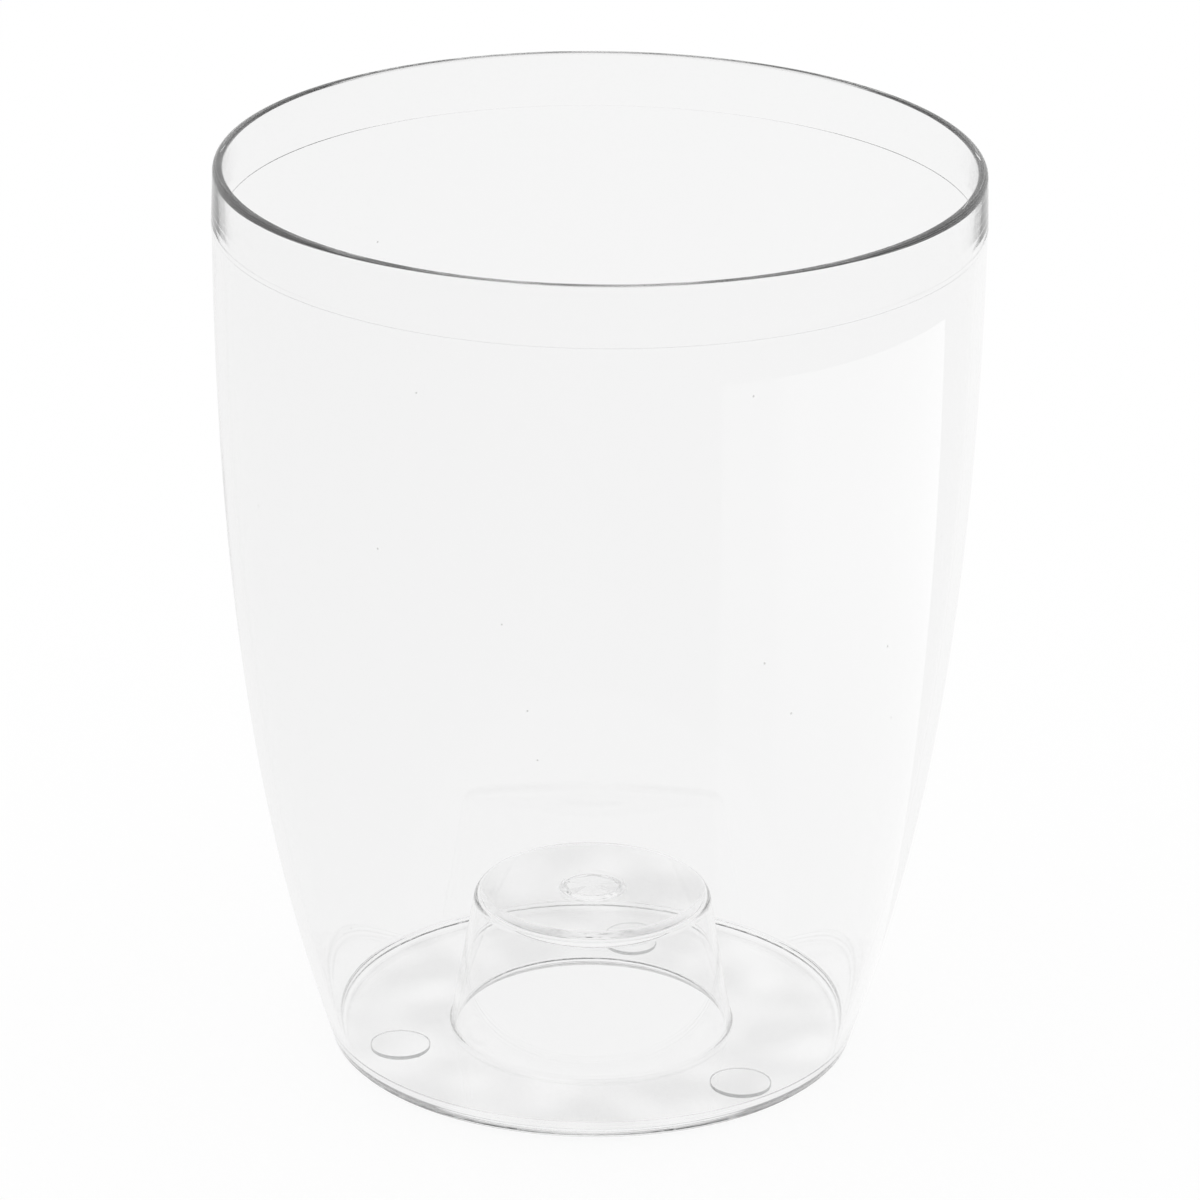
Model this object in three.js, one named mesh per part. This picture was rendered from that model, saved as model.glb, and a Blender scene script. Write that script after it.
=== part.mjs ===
// Clear orchid pot: a cover pot that an orchid's nursery pot drops into, moulded in clear polystyrene.
// Millimetres, +Z up. The origin is at the centre of the base, on the surface that the feet stand on.
import * as THREE from 'three';

// Outside of the pot
const HEIGHT = 160;              // from the standing surface to the rim
const WIDEST_RADIUS = 65;        // at the lower edge of the band under the rim
const RIM_RADIUS = 64.5;         // at the very top, where the band leans in a little
const BASE_RADIUS = 45.45;        // where the wall starts from the underside of the floor
const BAND_HEIGHT = 10.2;        // plain band under the rim
const BAND_STEP = 0.12;          // how far the band stands out from the wall

// Curve of the wall: upright at the band and flared at the base, between two shape factors
const FLARE_DEGREES = 17;        // lean of the wall from upright at the base
const FLARE_SHARE = 0.14;        // share of the wall's height that holds the flare
const UPRIGHT_SHARE = 0.6;       // share of the wall's height that holds the upright

// Thickness of the moulding
const WALL = 1.7;
const FLOOR = 1.8;
const PEDESTAL_WALL = 1.1;
const CROWN = 1.4;
const CORE_DRAFT_DEGREES = 0.5;  // how the inside of the band opens towards the rim

// Pedestal: a hollow cone raised from the floor, which holds the nursery pot above pooled water
const CROWN_HEIGHT = 25;         // from the top of the floor to the top of the crown
const CROWN_RADIUS = 20.45;
const PEDESTAL_RADIUS = 24.75;    // at the top of the floor

// Gate well: the round dimple at the middle of the crown, where the mould was filled
const GATE_BOSS_RADIUS = 5.8;
const GATE_WELL_RADIUS = 4.6;
const GATE_RISE = 0.8;
const GATE_DRAFT = 0.4;

// Rounded edges
const RIM_OUTER_ROUND = 0.5;
const RIM_INNER_ROUND = 0.4;
const HEEL_ROUND = 1.9;
const FLOOR_ROUND = 1.7;
const PEDESTAL_FOOT_ROUND = 0.4;
const CROWN_ROUND = 2.5;
const HOLLOW_ROUND = 0.5;
const MOUTH_ROUND = 1.6;         // where the hollow opens under the floor

// Feet: three clear discs under the floor
const FOOT_COUNT = 3;
const FOOT_RADIUS = 5.2;
const FOOT_HEIGHT = 0.8;
const FOOT_CHAMFER = 0.2;
const FOOT_CIRCLE = 34.8;        // radius of the circle that the feet stand on
const FIRST_FOOT_DEGREES = 77.4;

// Fineness of the curved surfaces
const TURN_STEPS = 72;
const FOOT_STEPS = 32;
const WALL_STEPS = 12;
const ROUND_STEPS = 4;
const MAX_ROUND_SHARE = 0.45;    // of the rim's thickness that a rounded edge takes

// Heights that follow from the sizes above
const UNDERSIDE = FOOT_HEIGHT;
const FLOOR_TOP = UNDERSIDE + FLOOR;
const CROWN_TOP = FLOOR_TOP + CROWN_HEIGHT;
const CROWN_UNDERSIDE = CROWN_TOP - CROWN;
const BAND_BOTTOM = HEIGHT - BAND_HEIGHT;

// Outside of the wall in section, from the base up to the band
function wallCurve() {
  const rise = BAND_BOTTOM - UNDERSIDE;
  const flare = THREE.MathUtils.degToRad(FLARE_DEGREES);
  const base = new THREE.Vector2(BASE_RADIUS, UNDERSIDE);
  const top = new THREE.Vector2(WIDEST_RADIUS - BAND_STEP, BAND_BOTTOM);
  const baseHandle = new THREE.Vector2(Math.sin(flare), Math.cos(flare))
    .multiplyScalar(FLARE_SHARE * rise)
    .add(base);
  const topHandle = new THREE.Vector2(top.x, top.y - UPRIGHT_SHARE * rise);
  return new THREE.CubicBezierCurve(base, baseHandle, topHandle, top);
}

// Point on the inside of the wall, one wall thickness square to the outside
function insideOfWall(curve, t) {
  const along = curve.getTangent(t);
  return curve.getPoint(t).sub(new THREE.Vector2(along.y, -along.x).multiplyScalar(WALL));
}

// Where along the curve the inside of the wall meets a height
function whereInsideMeets(curve, height) {
  let low = 0;
  let high = 1;
  for (let halving = 0; halving < 30; halving += 1) {
    const middle = (low + high) / 2;
    if (insideOfWall(curve, middle).y < height) {
      low = middle;
    } else {
      high = middle;
    }
  }
  return high;
}

// Outside radius of the pedestal's cone at a height
function pedestalRadius(height) {
  const share = (height - FLOOR_TOP) / CROWN_HEIGHT;
  return THREE.MathUtils.lerp(PEDESTAL_RADIUS, CROWN_RADIUS, share);
}

// A corner of the moulding's section: radius, height and the rounding of its edge
function corner(radius, height, round = 0) {
  return { at: new THREE.Vector2(radius, height), round };
}

// Turns each rounded corner of the section into a short arc
function roundCorners(corners) {
  return corners.flatMap(({ at, round }, index) => {
    if (round === 0) {
      return [at];
    }
    const back = corners[index - 1].at.clone().sub(at).normalize();
    const ahead = corners[index + 1].at.clone().sub(at).normalize();
    const halfAngle = Math.acos(back.dot(ahead)) / 2;
    const middle = back.clone().add(ahead).normalize();
    const centre = middle.clone().multiplyScalar(round / Math.sin(halfAngle)).add(at);
    const start = back.clone().multiplyScalar(round / Math.tan(halfAngle)).add(at).sub(centre);
    const turn = (Math.PI - 2 * halfAngle) * Math.sign(ahead.cross(back));
    return Array.from({ length: ROUND_STEPS + 1 }, (_, step) => (
      start.clone().rotateAround(new THREE.Vector2(), (turn * step) / ROUND_STEPS).add(centre)
    ));
  });
}

// Section of the one-shot moulding, from the axis under the crown, round the wall, back to the axis
function potSection() {
  const curve = wallCurve();
  const coreDraft = Math.tan(THREE.MathUtils.degToRad(CORE_DRAFT_DEGREES));
  const mouth = insideOfWall(curve, 1).x + BAND_HEIGHT * coreDraft;
  const rimRound = (round) => Math.min(round, MAX_ROUND_SHARE * (RIM_RADIUS - mouth));
  const gateWell = CROWN_UNDERSIDE + GATE_RISE;
  const gateBoss = CROWN_TOP + GATE_RISE;
  const hollowTop = pedestalRadius(CROWN_UNDERSIDE) - PEDESTAL_WALL;
  const hollowMouth = pedestalRadius(UNDERSIDE) - PEDESTAL_WALL;

  const hollow = [
    corner(0, gateWell),
    corner(GATE_WELL_RADIUS, gateWell),
    corner(GATE_WELL_RADIUS + GATE_DRAFT, CROWN_UNDERSIDE),
    corner(hollowTop, CROWN_UNDERSIDE, HOLLOW_ROUND),
    corner(hollowMouth, UNDERSIDE, MOUTH_ROUND),
  ];

  const outside = curve.getPoints(WALL_STEPS).map((point, step) => (
    corner(point.x, point.y, step === 0 ? HEEL_ROUND : 0)
  ));

  const band = [
    corner(WIDEST_RADIUS, BAND_BOTTOM + BAND_STEP),
    corner(RIM_RADIUS, HEIGHT, rimRound(RIM_OUTER_ROUND)),
    corner(mouth, HEIGHT, rimRound(RIM_INNER_ROUND)),
  ];

  const inside = [];
  const floorMeets = whereInsideMeets(curve, FLOOR_TOP);
  for (let step = WALL_STEPS; step >= 0; step -= 1) {
    const point = insideOfWall(curve, THREE.MathUtils.lerp(floorMeets, 1, step / WALL_STEPS));
    inside.push(corner(point.x, point.y, step === 0 ? FLOOR_ROUND : 0));
  }

  const pedestal = [
    corner(PEDESTAL_RADIUS, FLOOR_TOP, PEDESTAL_FOOT_ROUND),
    corner(CROWN_RADIUS, CROWN_TOP, CROWN_ROUND),
    corner(GATE_BOSS_RADIUS, CROWN_TOP),
    corner(GATE_BOSS_RADIUS - GATE_DRAFT, gateBoss),
    corner(0, gateBoss),
  ];

  return roundCorners([...hollow, ...outside, ...band, ...inside, ...pedestal]);
}

// Section of one foot: a flat disc with a broken lower edge
function footSection() {
  return [
    new THREE.Vector2(0, 0),
    new THREE.Vector2(FOOT_RADIUS - FOOT_CHAMFER, 0),
    new THREE.Vector2(FOOT_RADIUS, FOOT_CHAMFER),
    new THREE.Vector2(FOOT_RADIUS, FOOT_HEIGHT),
    new THREE.Vector2(0, FOOT_HEIGHT),
  ];
}

// Solid turned about the upright axis from a section of radii and heights
function turned(section, steps) {
  return new THREE.LatheGeometry(section, steps).rotateX(Math.PI / 2);
}

function clearPolystyrene() {
  return new THREE.MeshStandardMaterial({
    color: 0xf4f6f6,
    roughness: 0.04,
    metalness: 0,
    transparent: true,
    opacity: 0.3,
  });
}

const orchidPot = new THREE.Group();

// The pot body: rim, wall, floor and pedestal are one moulding
const potBody = new THREE.Mesh(turned(potSection(), TURN_STEPS), clearPolystyrene());
potBody.name = 'pot_body';
orchidPot.add(potBody);

// The feet, flat against the underside of the floor
for (let index = 0; index < FOOT_COUNT; index += 1) {
  const angle = THREE.MathUtils.degToRad(FIRST_FOOT_DEGREES) + (index * 2 * Math.PI) / FOOT_COUNT;
  const foot = new THREE.Mesh(turned(footSection(), FOOT_STEPS), clearPolystyrene());
  foot.name = `foot_${index + 1}`;
  foot.position.set(FOOT_CIRCLE * Math.cos(angle), FOOT_CIRCLE * Math.sin(angle), 0);
  orchidPot.add(foot);
}

export default orchidPot;
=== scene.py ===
import math

import bpy
from mathutils import Matrix, Vector, noise


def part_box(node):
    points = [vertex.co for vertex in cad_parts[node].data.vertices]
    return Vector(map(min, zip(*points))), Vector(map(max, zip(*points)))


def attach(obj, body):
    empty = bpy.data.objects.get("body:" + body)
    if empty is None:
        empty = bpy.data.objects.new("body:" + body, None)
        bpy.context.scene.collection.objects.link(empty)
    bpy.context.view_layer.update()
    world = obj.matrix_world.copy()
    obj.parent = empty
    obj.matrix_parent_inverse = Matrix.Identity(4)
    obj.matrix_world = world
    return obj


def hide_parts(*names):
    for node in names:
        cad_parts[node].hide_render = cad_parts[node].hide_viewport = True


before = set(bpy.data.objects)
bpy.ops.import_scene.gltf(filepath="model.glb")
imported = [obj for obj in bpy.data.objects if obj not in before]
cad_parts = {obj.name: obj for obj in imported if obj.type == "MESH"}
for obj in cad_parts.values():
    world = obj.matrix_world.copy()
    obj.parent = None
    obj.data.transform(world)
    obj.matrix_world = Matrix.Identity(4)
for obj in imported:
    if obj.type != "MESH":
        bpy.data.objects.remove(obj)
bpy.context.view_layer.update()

scene = bpy.context.scene

# Camera: about a metre away, in front of the pot and above it, with a long lens, and a hair out of
# level. Distances are in metres.
LENS = 183.7
CAMERA_DISTANCE = 1.0506
CAMERA_HEIGHT_ANGLE = math.radians(21.83)
CAMERA_TILT = math.radians(0.617)
CAMERA_SHIFT = 0.0036
CAMERA_REACH = 20.0
AIM_HEIGHT = 0.0812

camera_data = bpy.data.cameras.new("view_camera")
camera_data.lens = LENS
camera_data.shift_x = CAMERA_SHIFT
camera_data.clip_end = CAMERA_REACH
camera = bpy.data.objects.new("view_camera", camera_data)
camera_place = Vector((
    0.0,
    -CAMERA_DISTANCE * math.cos(CAMERA_HEIGHT_ANGLE),
    AIM_HEIGHT + CAMERA_DISTANCE * math.sin(CAMERA_HEIGHT_ANGLE),
))
camera.matrix_world = (
    Matrix.Translation(camera_place)
    @ Matrix.Rotation(math.pi / 2 - CAMERA_HEIGHT_ANGLE, 4, "X")
    @ Matrix.Rotation(CAMERA_TILT, 4, "Z")
)
scene.collection.objects.link(camera)
scene.camera = camera


# Pot body: rim, wall, floor and pedestal are one injection moulding in water-clear polystyrene. The
# outside and the core were both polished, and the halves of the mould parted at the lower edge of
# the band under the rim. It was filled at the middle of the pedestal's crown.
MM = 0.001                          # the sizes that follow are in mm
pot_low, pot_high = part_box("pot_body")
HEIGHT = pot_high.z / MM
WIDEST_RADIUS = pot_high.x / MM     # at the lower edge of the band
UNDERSIDE = pot_low.z / MM
RIM_RADIUS = 64.65
BASE_RADIUS = 45.45
BAND_HEIGHT = 10.2
BAND_STEP = 0.12                    # how far the band stands out from the wall
FLARE_ANGLE = math.radians(17)      # lean of the wall at the base
FLARE_SHARE = 0.14                  # share of the wall's height that holds the flare
UPRIGHT_SHARE = 0.6                 # share of the wall's height that holds the upright
WALL = 1.7
FLOOR_THICKNESS = 1.8
PEDESTAL_WALL = 1.1
CROWN_THICKNESS = 1.4
CORE_MOUTH_RADIUS = 63.0
CROWN_HEIGHT = 25.0
CROWN_RADIUS = 20.45
PEDESTAL_RADIUS = 24.75
GATE_BOSS_RADIUS = 5.8
GATE_WELL_RADIUS = 4.6
GATE_RISE = 0.8
GATE_DRAFT = 0.4

RIM_OUTER_ROUND = 1.0
RIM_INNER_ROUND = 0.3
BAND_EDGE_ROUND = 0.05
HEEL_ROUND = 1.9
FLOOR_ROUND = 1.7
PEDESTAL_FOOT_ROUND = 0.4
CROWN_ROUND = 2.5
HOLLOW_ROUND = 0.5
MOUTH_ROUND = 1.6
GATE_ROUND = 0.3

TURN_STEPS = 288
WALL_STEPS = 64
ROUND_STEPS = 8
ROUND_MARGIN = 0.02
HALVINGS = 40
ON_AXIS = 1e-6

FLOOR_TOP = UNDERSIDE + FLOOR_THICKNESS
CROWN_TOP = FLOOR_TOP + CROWN_HEIGHT
CROWN_UNDERSIDE = CROWN_TOP - CROWN_THICKNESS
BAND_BOTTOM = HEIGHT - BAND_HEIGHT


def wall_point(share):
    """Point on the outside of the wall and the way along it, from the base (0) to the band (1)."""
    rise = BAND_BOTTOM - UNDERSIDE
    base = Vector((BASE_RADIUS, UNDERSIDE))
    top = Vector((WIDEST_RADIUS - BAND_STEP, BAND_BOTTOM))
    flare = Vector((math.sin(FLARE_ANGLE), math.cos(FLARE_ANGLE)))
    base_handle = base + flare * FLARE_SHARE * rise
    top_handle = top - Vector((0.0, UPRIGHT_SHARE * rise))
    rest = 1 - share
    point = (
        base * rest**3
        + base_handle * 3 * rest**2 * share
        + top_handle * 3 * rest * share**2
        + top * share**3
    )
    along = (
        (base_handle - base) * rest**2
        + (top_handle - base_handle) * 2 * rest * share
        + (top - top_handle) * share**2
    )
    return point, along.normalized()


def inside_point(share):
    """Point on the inside of the wall, one wall thickness square to the outside."""
    point, along = wall_point(share)
    return point - Vector((along.y, -along.x)) * WALL


def share_at_inside_height(height):
    """Share of the way up the wall at which its inside reaches a height."""
    low, high = 0.0, 1.0
    for _ in range(HALVINGS):
        middle = (low + high) / 2
        if inside_point(middle).y < height:
            low = middle
        else:
            high = middle
    return high


def pedestal_radius(height):
    """Outside radius of the pedestal's cone at a height."""
    return PEDESTAL_RADIUS + (CROWN_RADIUS - PEDESTAL_RADIUS) * (height - FLOOR_TOP) / CROWN_HEIGHT


def rounded(corners):
    """Section points from corners of (radius, height, round), with each round turned into an arc.

    A point just before and after each arc keeps the flats beside it flat to the shading.
    """
    points = []
    for index, (radius, height, edge_round) in enumerate(corners):
        at = Vector((radius, height))
        if edge_round == 0:
            points.append(at)
            continue
        back = (Vector(corners[index - 1][:2]) - at).normalized()
        ahead = (Vector(corners[index + 1][:2]) - at).normalized()
        half_angle = back.angle(ahead) / 2
        centre = at + (back + ahead).normalized() * edge_round / math.sin(half_angle)
        start = at + back * edge_round / math.tan(half_angle) - centre
        turn = math.pi - 2 * half_angle
        if ahead.x * back.y - ahead.y * back.x < 0:
            turn = -turn
        arc = [
            centre + Matrix.Rotation(turn * step / ROUND_STEPS, 2) @ start
            for step in range(ROUND_STEPS + 1)
        ]
        points += [arc[0] + back * ROUND_MARGIN, *arc, arc[-1] + ahead * ROUND_MARGIN]
    return points


def turned_mesh(name, section, steps):
    """Closed mesh turned about the upright axis from a section in mm that starts and ends on it."""
    vertices = []
    rings = []
    for point in section:
        if point.x < ON_AXIS:
            rings.append([len(vertices)])
            vertices.append((0.0, 0.0, point.y * MM))
            continue
        rings.append(list(range(len(vertices), len(vertices) + steps)))
        for step in range(steps):
            angle = 2 * math.pi * step / steps
            across = point.x * MM * math.cos(angle)
            deep = point.x * MM * math.sin(angle)
            vertices.append((across, deep, point.y * MM))
    faces = []
    for lower, upper in zip(rings, rings[1:]):
        for step in range(steps):
            following = (step + 1) % steps
            if len(lower) == 1:
                faces.append((lower[0], upper[following], upper[step]))
            elif len(upper) == 1:
                faces.append((lower[step], lower[following], upper[0]))
            else:
                faces.append((lower[step], lower[following], upper[following], upper[step]))
    mesh = bpy.data.meshes.new(name)
    mesh.from_pydata(vertices, [], faces)
    mesh.shade_smooth()
    mesh.validate()
    return mesh


def linear(hex_colour):
    """sRGB hex colour as the linear RGBA that the shaders work in."""
    channels = [int(hex_colour[index:index + 2], 16) / 255 for index in (1, 3, 5)]
    return [c / 12.92 if c <= 0.04045 else ((c + 0.055) / 1.055) ** 2.4 for c in channels] + [1.0]


def emptied_tree(owner):
    """Node tree of a material or world, without the nodes that Blender puts in it."""
    owner.use_nodes = True
    owner.node_tree.nodes.clear()
    return owner.node_tree


def add_node(tree, kind, settings=None, inputs=None):
    """New shader node; an input is a constant, or an output socket to link from."""
    node = tree.nodes.new(kind)
    for key, value in (settings or {}).items():
        setattr(node, key, value)
    for key, value in (inputs or {}).items():
        if isinstance(value, bpy.types.NodeSocket):
            tree.links.new(value, node.inputs[key])
        else:
            node.inputs[key].default_value = value
    return node


gate_well = CROWN_UNDERSIDE + GATE_RISE
gate_boss = CROWN_TOP + GATE_RISE
pot_corners = [
    (0, gate_well, 0),
    (GATE_WELL_RADIUS, gate_well, GATE_ROUND),
    (GATE_WELL_RADIUS + GATE_DRAFT, CROWN_UNDERSIDE, GATE_ROUND),
    (pedestal_radius(CROWN_UNDERSIDE) - PEDESTAL_WALL, CROWN_UNDERSIDE, HOLLOW_ROUND),
    (pedestal_radius(UNDERSIDE) - PEDESTAL_WALL, UNDERSIDE, MOUTH_ROUND),
]
rounds_up_the_wall = {0: HEEL_ROUND, WALL_STEPS: BAND_EDGE_ROUND}
for step in range(WALL_STEPS + 1):
    outside = wall_point(step / WALL_STEPS)[0]
    pot_corners.append((outside.x, outside.y, rounds_up_the_wall.get(step, 0)))
pot_corners += [
    (WIDEST_RADIUS, BAND_BOTTOM + BAND_STEP, BAND_EDGE_ROUND),
    (RIM_RADIUS, HEIGHT, RIM_OUTER_ROUND),
    (CORE_MOUTH_RADIUS, HEIGHT, RIM_INNER_ROUND),
]
floor_meets = share_at_inside_height(FLOOR_TOP)
for step in range(WALL_STEPS, -1, -1):
    inside = inside_point(floor_meets + (1 - floor_meets) * step / WALL_STEPS)
    pot_corners.append((inside.x, inside.y, FLOOR_ROUND if step == 0 else 0))
pot_corners += [
    (PEDESTAL_RADIUS, FLOOR_TOP, PEDESTAL_FOOT_ROUND),
    (CROWN_RADIUS, CROWN_TOP, CROWN_ROUND),
    (GATE_BOSS_RADIUS, CROWN_TOP, GATE_ROUND),
    (GATE_BOSS_RADIUS - GATE_DRAFT, gate_boss, GATE_ROUND),
    (0, gate_boss, 0),
]
pot_mesh = turned_mesh("pot_moulding", rounded(pot_corners), TURN_STEPS)

# The gate was broken off by hand, so the round mark that it left on both faces of the crown isn't
# quite true. The unevenness fades out towards the edge of the mark.
GATE_WOBBLE = 0.3
GATE_WOBBLE_LENGTH = 3
GATE_WOBBLE_RISE = 0.5              # share of the wobble that goes up or down
GATE_WOBBLE_FADE = 1.0              # how far in from the mark's edge it is whole
GATE_WOBBLE_SEED = 1795730370       # fixed, so that each run gives the same mark
# Heights from which a point belongs to the mark on the crown's top, and to the one under it
MARK_ON_TOP_FROM = CROWN_TOP - 0.1
MARK_UNDERNEATH_FROM = CROWN_UNDERSIDE - 0.5
noise.seed_set(GATE_WOBBLE_SEED)
for vertex in pot_mesh.vertices:
    on_top = vertex.co.z > MARK_ON_TOP_FROM * MM
    mark_radius = GATE_BOSS_RADIUS if on_top else GATE_WELL_RADIUS + GATE_DRAFT
    inward = min((mark_radius - vertex.co.xy.length / MM) / GATE_WOBBLE_FADE, 1)
    if inward > 0 and vertex.co.z > MARK_UNDERNEATH_FROM * MM:
        wobble = noise.noise_vector(vertex.co / (GATE_WOBBLE_LENGTH * MM)) * GATE_WOBBLE * MM
        wobble.z *= GATE_WOBBLE_RISE
        vertex.co += wobble * inward**2 * (3 - 2 * inward)

# Clear polystyrene, injection moulded against polished steel: water-clear, with a hard gloss. It
# bends light strongly, so the edges of the moulding draw most of the thin dark lines.
POLYSTYRENE_IOR = 1.59
POLYSTYRENE_CLEAR = "#FDFDFD"
POLYSTYRENE_INSIDE = "#BCBCBC"
POLYSTYRENE_DENSITY = 4.627         # so that a metre of plastic lets a tenth of the light through
# Places of a colour mix's two colours and of its result, because other mixes share their names
COLOUR_A = 6
COLOUR_B = 7
MIXED = 2
polystyrene = bpy.data.materials.new("clear_polystyrene_moulded")
tree = emptied_tree(polystyrene)
coordinates = add_node(tree, "ShaderNodeTexCoord")
place = add_node(tree, "ShaderNodeSeparateXYZ", inputs={"Vector": coordinates.outputs["Object"]})

# At the rim the eye looks down the length of the wall, which shows a thin dark line there. The top
# of the cut is painted deep grey as painted shade for that line
RIM_PAINTED_SHADE_GREY = "#1A1C1C"
RIM_PAINTED_SHADE_DEPTH = 0.22              # from the very top down
rim_painted_shade_share = add_node(tree, "ShaderNodeMapRange", inputs={
    "Value": place.outputs["Z"],
    "From Min": (HEIGHT - RIM_PAINTED_SHADE_DEPTH) * MM,
    "From Max": HEIGHT * MM,
})

# The mould's parting line runs round the outside at the lower edge of the band. Its grey is painted
# shade, deeper where the wall turns away. The real one is as fine as a hair, and this one is coarse
# enough to show.
PARTING_LINE_PAINTED_SHADE_GREY = "#8C8E8E"
PARTING_LINE_WIDTH = 0.2
EVEN_BLEND = 0.5                    # it grows evenly as the wall turns away
at_parting_height = add_node(tree, "ShaderNodeMath", {"operation": "COMPARE"}, {
    0: place.outputs["Z"],
    1: (BAND_BOTTOM + BAND_STEP / 2) * MM,
    2: PARTING_LINE_WIDTH / 2 * MM,
})
level_place = add_node(tree, "ShaderNodeVectorMath", {"operation": "MULTIPLY"}, {
    0: coordinates.outputs["Object"], 1: (1.0, 1.0, 0.0),
})
out_from_axis = add_node(tree, "ShaderNodeVectorMath", {"operation": "LENGTH"}, {
    0: level_place.outputs[0],
})
on_outside = add_node(tree, "ShaderNodeMath", {"operation": "GREATER_THAN"}, {
    0: out_from_axis.outputs["Value"], 1: (WIDEST_RADIUS - WALL / 2) * MM,
})
parting_line = add_node(tree, "ShaderNodeMath", {"operation": "MULTIPLY"}, {
    0: at_parting_height.outputs[0], 1: on_outside.outputs[0],
})
turned_away = add_node(tree, "ShaderNodeLayerWeight", inputs={"Blend": EVEN_BLEND})
parting_line_painted_shade_share = add_node(tree, "ShaderNodeMath", {"operation": "MULTIPLY"}, {
    0: parting_line.outputs[0], 1: turned_away.outputs["Facing"],
})

# The floor and the crown lie nearest to the gate, and carry a faint grey cloud from the hot melt
CLOUD_GREY = "#EEEEEE"
CLOUD_SIZE = 11
CLOUD_FROM = 0.3
CLOUD_TO = 0.7
LEVEL_FROM = 0.8                    # how far a face looks up or down to carry it
LEVEL_TO = 0.97
facing = add_node(tree, "ShaderNodeSeparateXYZ", inputs={"Vector": coordinates.outputs["Normal"]})
faces_up = add_node(tree, "ShaderNodeMath", {"operation": "ABSOLUTE"}, {0: facing.outputs["Z"]})
level = add_node(tree, "ShaderNodeMapRange", inputs={
    "Value": faces_up.outputs[0], "From Min": LEVEL_FROM, "From Max": LEVEL_TO,
})
cloud = add_node(tree, "ShaderNodeTexNoise", inputs={
    "Vector": coordinates.outputs["Object"], "Scale": 1 / (CLOUD_SIZE * MM), "Detail": 0.0,
})
cloud_depth = add_node(tree, "ShaderNodeMapRange", inputs={
    "Value": cloud.outputs["Fac"], "From Min": CLOUD_FROM, "From Max": CLOUD_TO,
})
cloud_share = add_node(tree, "ShaderNodeMath", {"operation": "MULTIPLY"}, {
    0: cloud_depth.outputs["Result"], 1: level.outputs["Result"],
})

# A few motes of dust cling to it, since polystyrene holds a charge
MOTE_GREY = "#C0C0BE"
MOTE_SPACING = 14
MOTE_SIZE = 0.5
mote_middles = add_node(tree, "ShaderNodeTexVoronoi", inputs={
    "Vector": coordinates.outputs["Object"], "Scale": 1 / (MOTE_SPACING * MM),
})
mote_share = add_node(tree, "ShaderNodeMath", {"operation": "LESS_THAN"}, {
    0: mote_middles.outputs["Distance"], 1: MOTE_SIZE / 2 / MOTE_SPACING,
})

# The melt left long shallow ripples in the wall, longer along its flow from the base to the rim
RIPPLE_LENGTH = 14
RIPPLE_DEPTH = 0.02
RIPPLE_STRETCH = (1.0, 1.0, 0.3)
along_the_flow = add_node(tree, "ShaderNodeMapping", inputs={
    "Vector": coordinates.outputs["Object"], "Scale": RIPPLE_STRETCH,
})
ripple = add_node(tree, "ShaderNodeTexNoise", inputs={
    "Vector": along_the_flow.outputs["Vector"], "Scale": 1 / (RIPPLE_LENGTH * MM), "Detail": 0.0,
})
rippled = add_node(tree, "ShaderNodeBump", inputs={
    "Height": ripple.outputs["Fac"], "Strength": 1.0, "Distance": RIPPLE_DEPTH * MM,
})

# Painted shade at the rim and at the parting line goes into the clear tint first, then the cloud
# and the dust
tint = linear(POLYSTYRENE_CLEAR)
for share, grey in (
    (rim_painted_shade_share.outputs["Result"], RIM_PAINTED_SHADE_GREY),
    (parting_line_painted_shade_share.outputs[0], PARTING_LINE_PAINTED_SHADE_GREY),
    (cloud_share.outputs[0], CLOUD_GREY),
    (mote_share.outputs[0], MOTE_GREY),
):
    mixed = add_node(tree, "ShaderNodeMix", {"data_type": "RGBA"}, {
        "Factor": share, COLOUR_A: tint, COLOUR_B: linear(grey),
    })
    tint = mixed.outputs[MIXED]
shader = add_node(tree, "ShaderNodeBsdfPrincipled", inputs={
    "Base Color": tint,
    "Roughness": 0.0,
    "IOR": POLYSTYRENE_IOR,
    "Transmission Weight": 1.0,
    "Normal": rippled.outputs["Normal"],
})
absorption = add_node(tree, "ShaderNodeVolumeAbsorption", inputs={
    "Color": linear(POLYSTYRENE_INSIDE),
    "Density": POLYSTYRENE_DENSITY,
})
add_node(tree, "ShaderNodeOutputMaterial", inputs={
    "Surface": shader.outputs["BSDF"],
    "Volume": absorption.outputs["Volume"],
})

pot = bpy.data.objects.new("pot_moulding", pot_mesh)
pot.data.materials.append(polystyrene)
scene.collection.objects.link(pot)
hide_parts("pot_body")
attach(pot, "root")


# Feet: three clear round pads of soft polyurethane, punched out of a cast sheet and stuck flat
# under the floor at even spacing. Their lower edge is softly rounded, and they keep the floor a
# little off the shelf.
FOOT_ROUND = 0.3
FOOT_SEAT_GAP = 0.02
FOOT_STEPS = 96

# Clear soft polyurethane, cast in a sheet and punched out: glossy on its faces. The punched side is
# finely matt, and painted grey as painted shade, so it reads as a thin grey ring round a light
# disc.
# The grain of a real one is finer, and this one is coarse enough to show.
POLYURETHANE_IOR = 1.5
FACE_CLEAR = "#FEFEFE"
SIDE_PAINTED_SHADE_DARK_GREY = "#606262"
SIDE_PAINTED_SHADE_LIGHT_GREY = "#A0A2A2"
SIDE_FROM = 0.9                     # how far the surface looks up where its side starts
SIDE_TO = 0.4
SIDE_ROUGHNESS = 0.2
PUNCHED_GRAIN = 1.2
polyurethane = bpy.data.materials.new("clear_polyurethane_punched")
tree = emptied_tree(polyurethane)
coordinates = add_node(tree, "ShaderNodeTexCoord")
facing = add_node(tree, "ShaderNodeSeparateXYZ", inputs={"Vector": coordinates.outputs["Normal"]})
faces_up = add_node(tree, "ShaderNodeMath", {"operation": "ABSOLUTE"}, {0: facing.outputs["Z"]})
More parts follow.
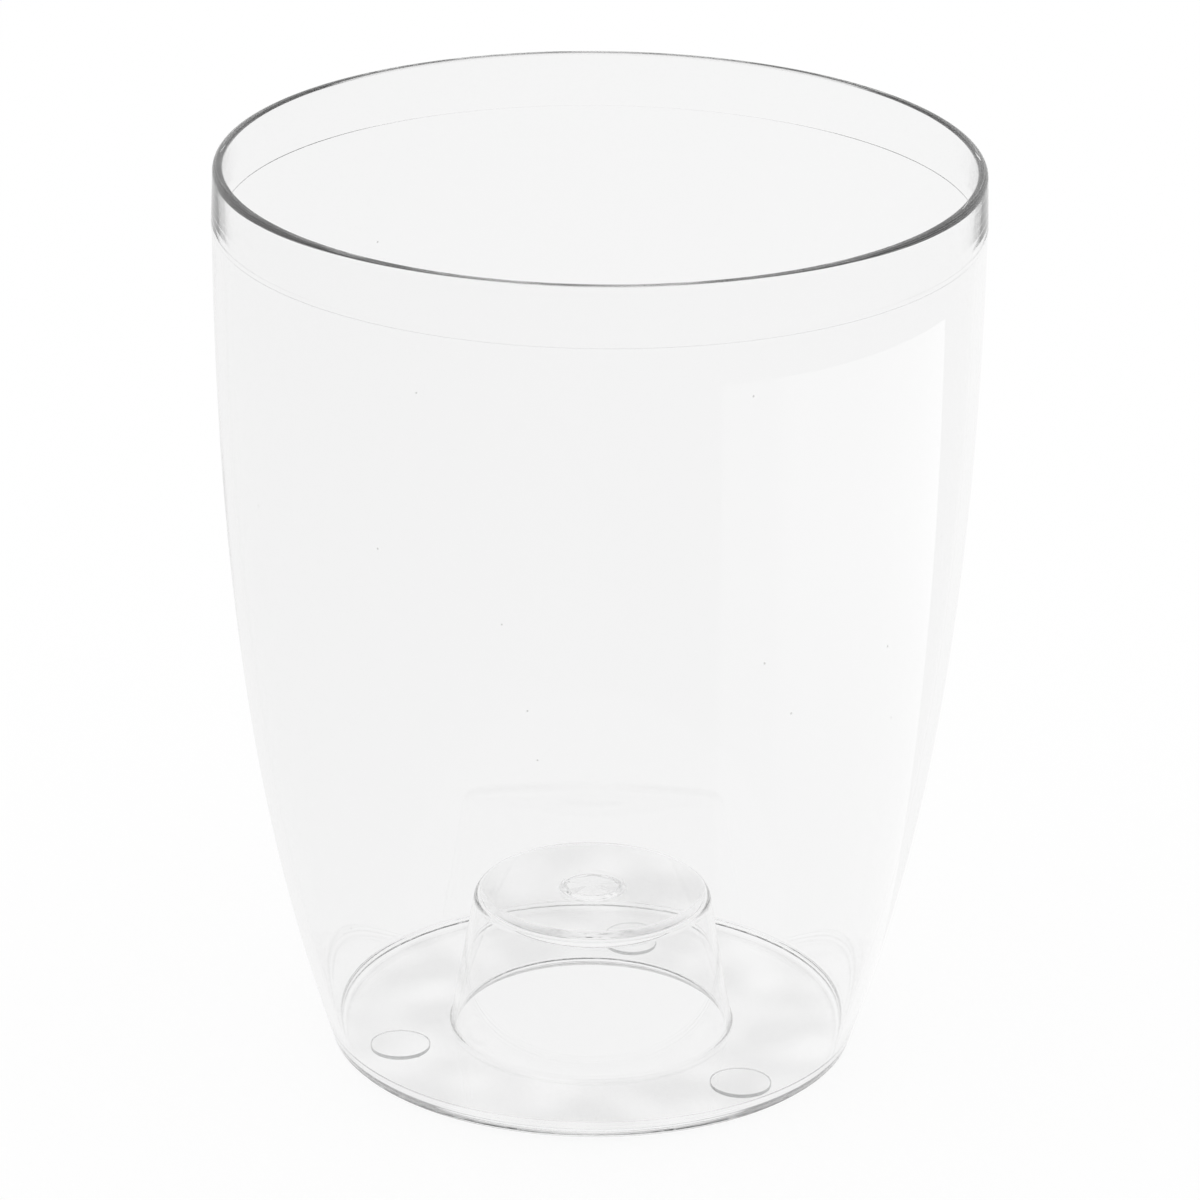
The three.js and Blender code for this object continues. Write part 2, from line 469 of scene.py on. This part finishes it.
side = add_node(tree, "ShaderNodeMapRange", {"interpolation_type": "SMOOTHSTEP"}, {
    "Value": faces_up.outputs[0], "From Min": SIDE_FROM, "From Max": SIDE_TO,
})
grain = add_node(tree, "ShaderNodeTexNoise", inputs={
    "Vector": coordinates.outputs["Object"], "Scale": 1 / (PUNCHED_GRAIN * MM), "Detail": 2.0,
})
# The pad's side is painted shade in two greys, mixed by the grain
side_painted_shade_colour = add_node(tree, "ShaderNodeMix", {"data_type": "RGBA"}, {
    "Factor": grain.outputs["Fac"],
    COLOUR_A: linear(SIDE_PAINTED_SHADE_DARK_GREY),
    COLOUR_B: linear(SIDE_PAINTED_SHADE_LIGHT_GREY),
})
pad_colour = add_node(tree, "ShaderNodeMix", {"data_type": "RGBA"}, {
    "Factor": side.outputs["Result"],
    COLOUR_A: linear(FACE_CLEAR),
    COLOUR_B: side_painted_shade_colour.outputs[MIXED],
})
pad_roughness = add_node(tree, "ShaderNodeMapRange", inputs={
    "Value": side.outputs["Result"], "To Min": 0.0, "To Max": SIDE_ROUGHNESS,
})
shader = add_node(tree, "ShaderNodeBsdfPrincipled", inputs={
    "Base Color": pad_colour.outputs[MIXED],
    "Roughness": pad_roughness.outputs["Result"],
    "IOR": POLYURETHANE_IOR,
    "Transmission Weight": 1.0,
})
add_node(tree, "ShaderNodeOutputMaterial", inputs={"Surface": shader.outputs["BSDF"]})

for foot_node in ("foot_1", "foot_2", "foot_3"):
    foot_low, foot_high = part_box(foot_node)
    foot_radius = (foot_high.x - foot_low.x) / 2 / MM
    foot_top = foot_high.z / MM - FOOT_SEAT_GAP
    foot_section = rounded([
        (0, 0, 0),
        (foot_radius, 0, FOOT_ROUND),
        (foot_radius, foot_top, FOOT_SEAT_GAP),
        (0, foot_top, 0),
    ])
    foot_mesh = turned_mesh(foot_node + "_pad", foot_section, FOOT_STEPS)
    foot_middle = (foot_low + foot_high) / 2
    foot_mesh.transform(Matrix.Translation((foot_middle.x, foot_middle.y, 0)))
    foot = bpy.data.objects.new(foot_node + "_pad", foot_mesh)
    foot.data.materials.append(polyurethane)
    scene.collection.objects.link(foot)
    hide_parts(foot_node)
    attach(foot, "root")


# Floor: a plain pale sweep of card, sizes in metres. It shows white to the eye, and keeps the
# pot's soft shadow in the share of it that the room lights. In the plastic it shows painted light:
# a little below white, and dimmer to the left, as if lit from the right.
FLOOR_REACH = 5.0
FLOOR_DROP = 0.00005                # under the feet, so that the two surfaces don't meet
LIT_SHARE = 0.08
CARD_GREY = "#E7E7E7"
PAINTED_LIGHT_LEFT = 0.918
PAINTED_LIGHT_RIGHT = 0.962
PAINTED_LIGHT_REACH = 0.16
floor_mesh = bpy.data.meshes.new("floor")
floor_mesh.from_pydata(
    [
        (FLOOR_REACH * across, FLOOR_REACH * deep, -FLOOR_DROP)
        for across, deep in ((-1, -1), (1, -1), (1, 1), (-1, 1))
    ],
    [],
    [(0, 1, 2, 3)],
)
card = bpy.data.materials.new("pale_card")
tree = emptied_tree(card)
coordinates = add_node(tree, "ShaderNodeTexCoord")
place = add_node(tree, "ShaderNodeSeparateXYZ", inputs={"Vector": coordinates.outputs["Object"]})
# Painted light, dimming from right to left, for the card as it shows in the pot
card_painted_light = add_node(tree, "ShaderNodeMapRange", inputs={
    "Value": place.outputs["X"],
    "From Min": -PAINTED_LIGHT_REACH,
    "From Max": PAINTED_LIGHT_REACH,
    "To Min": PAINTED_LIGHT_LEFT,
    "To Max": PAINTED_LIGHT_RIGHT,
})
# What the eye sees straight, what it sees in the pot, and what is left for all other light
lit_white = add_node(tree, "ShaderNodeBsdfDiffuse", inputs={"Color": linear("#FFFFFF")})
own_white = add_node(tree, "ShaderNodeEmission", inputs={"Strength": 1.0})
to_the_eye = add_node(tree, "ShaderNodeMixShader", inputs={
    "Fac": LIT_SHARE, 1: own_white.outputs[0], 2: lit_white.outputs[0],
})
in_the_pot = add_node(tree, "ShaderNodeEmission", inputs={"Strength": card_painted_light.outputs["Result"]})
plain = add_node(tree, "ShaderNodeBsdfDiffuse", inputs={"Color": linear(CARD_GREY)})
light_path = add_node(tree, "ShaderNodeLightPath")
by_way_of_the_pot = add_node(tree, "ShaderNodeMath", {"operation": "MAXIMUM"}, {
    0: light_path.outputs["Is Glossy Ray"], 1: light_path.outputs["Is Transmission Ray"],
})
out_of_sight = add_node(tree, "ShaderNodeMixShader", inputs={
    "Fac": by_way_of_the_pot.outputs[0], 1: plain.outputs[0], 2: in_the_pot.outputs[0],
})
card_shader = add_node(tree, "ShaderNodeMixShader", inputs={
    "Fac": light_path.outputs["Is Camera Ray"],
    1: out_of_sight.outputs[0],
    2: to_the_eye.outputs[0],
})
add_node(tree, "ShaderNodeOutputMaterial", inputs={"Surface": card_shader.outputs[0]})
floor = bpy.data.objects.new("floor", floor_mesh)
floor.data.materials.append(card)
scene.collection.objects.link(floor)


# Soft light: a flat diffused panel low to the right of the pot, out of the picture. It mirrors in
# the side of the pot as the tall highlight, fainter along its shaded left edge, and fades out
# towards the pot's base. Sizes are in metres.
PANEL_RADIUS = 0.438
PANEL_INNER_SHARE = 0.115           # of the radius, where the panel starts
PANEL_FROM = math.radians(-56)
PANEL_TO = math.radians(27)
PANEL_SHADE_TO = math.radians(-38)
PANEL_SHADE_BLUR = math.radians(4)
PANEL_HEIGHT = 0.0005
PANEL_STRENGTH = 1.45
PANEL_SHADED = 1.25
PANEL_FADE_FROM = 0.04
PANEL_FADE_TO = 0.28
PANEL_STEPS = 42
panel_angles = [
    PANEL_FROM + (PANEL_TO - PANEL_FROM) * step / PANEL_STEPS for step in range(PANEL_STEPS + 1)
]
panel_mesh = bpy.data.meshes.new("light_panel")
panel_mesh.from_pydata(
    [
        (out * math.cos(angle), out * math.sin(angle), PANEL_HEIGHT)
        for angle in panel_angles
        for out in (PANEL_INNER_SHARE * PANEL_RADIUS, PANEL_RADIUS)
    ],
    [],
    [(2 * step, 2 * step + 1, 2 * step + 3, 2 * step + 2) for step in range(PANEL_STEPS)],
)
diffuser = bpy.data.materials.new("lit_diffuser")
tree = emptied_tree(diffuser)
coordinates = add_node(tree, "ShaderNodeTexCoord")
place = add_node(tree, "ShaderNodeSeparateXYZ", inputs={"Vector": coordinates.outputs["Object"]})
bearing = add_node(tree, "ShaderNodeMath", {"operation": "ARCTAN2"}, {
    0: place.outputs["Y"], 1: place.outputs["X"],
})
shade = add_node(tree, "ShaderNodeMapRange", {"interpolation_type": "SMOOTHSTEP"}, {
    "Value": bearing.outputs[0],
    "From Min": PANEL_SHADE_TO - PANEL_SHADE_BLUR,
    "From Max": PANEL_SHADE_TO + PANEL_SHADE_BLUR,
    "To Min": PANEL_SHADED,
    "To Max": PANEL_STRENGTH,
})
out_from_pot = add_node(tree, "ShaderNodeVectorMath", {"operation": "LENGTH"}, {
    0: coordinates.outputs["Object"],
})
fade = add_node(tree, "ShaderNodeMapRange", inputs={
    "Value": out_from_pot.outputs["Value"],
    "From Min": PANEL_FADE_FROM,
    "From Max": PANEL_FADE_TO,
    "To Min": PAINTED_LIGHT_RIGHT,
    "To Max": shade.outputs["Result"],
})
glow = add_node(tree, "ShaderNodeEmission", inputs={"Strength": fade.outputs["Result"]})
add_node(tree, "ShaderNodeOutputMaterial", inputs={"Surface": glow.outputs[0]})
panel = bpy.data.objects.new("light_panel", panel_mesh)
panel.data.materials.append(diffuser)
panel.visible_camera = False
panel.visible_diffuse = False
panel.visible_transmission = False
panel.visible_shadow = False
scene.collection.objects.link(panel)


# Studio: an even white room all round, which lights everything softly. Light crosses the clear
# walls of the pot many times, so it is followed for as many turns as that takes.
MOST_TURNS = 96
world = bpy.data.worlds.new("studio")
tree = emptied_tree(world)
room = add_node(tree, "ShaderNodeBackground", inputs={"Color": linear("#FFFFFF"), "Strength": 1.0})
add_node(tree, "ShaderNodeOutputWorld", inputs={"Surface": room.outputs[0]})
scene.world = world
scene.view_settings.view_transform = "Standard"
scene.cycles.max_bounces = MOST_TURNS
scene.cycles.glossy_bounces = MOST_TURNS
scene.cycles.transmission_bounces = MOST_TURNS
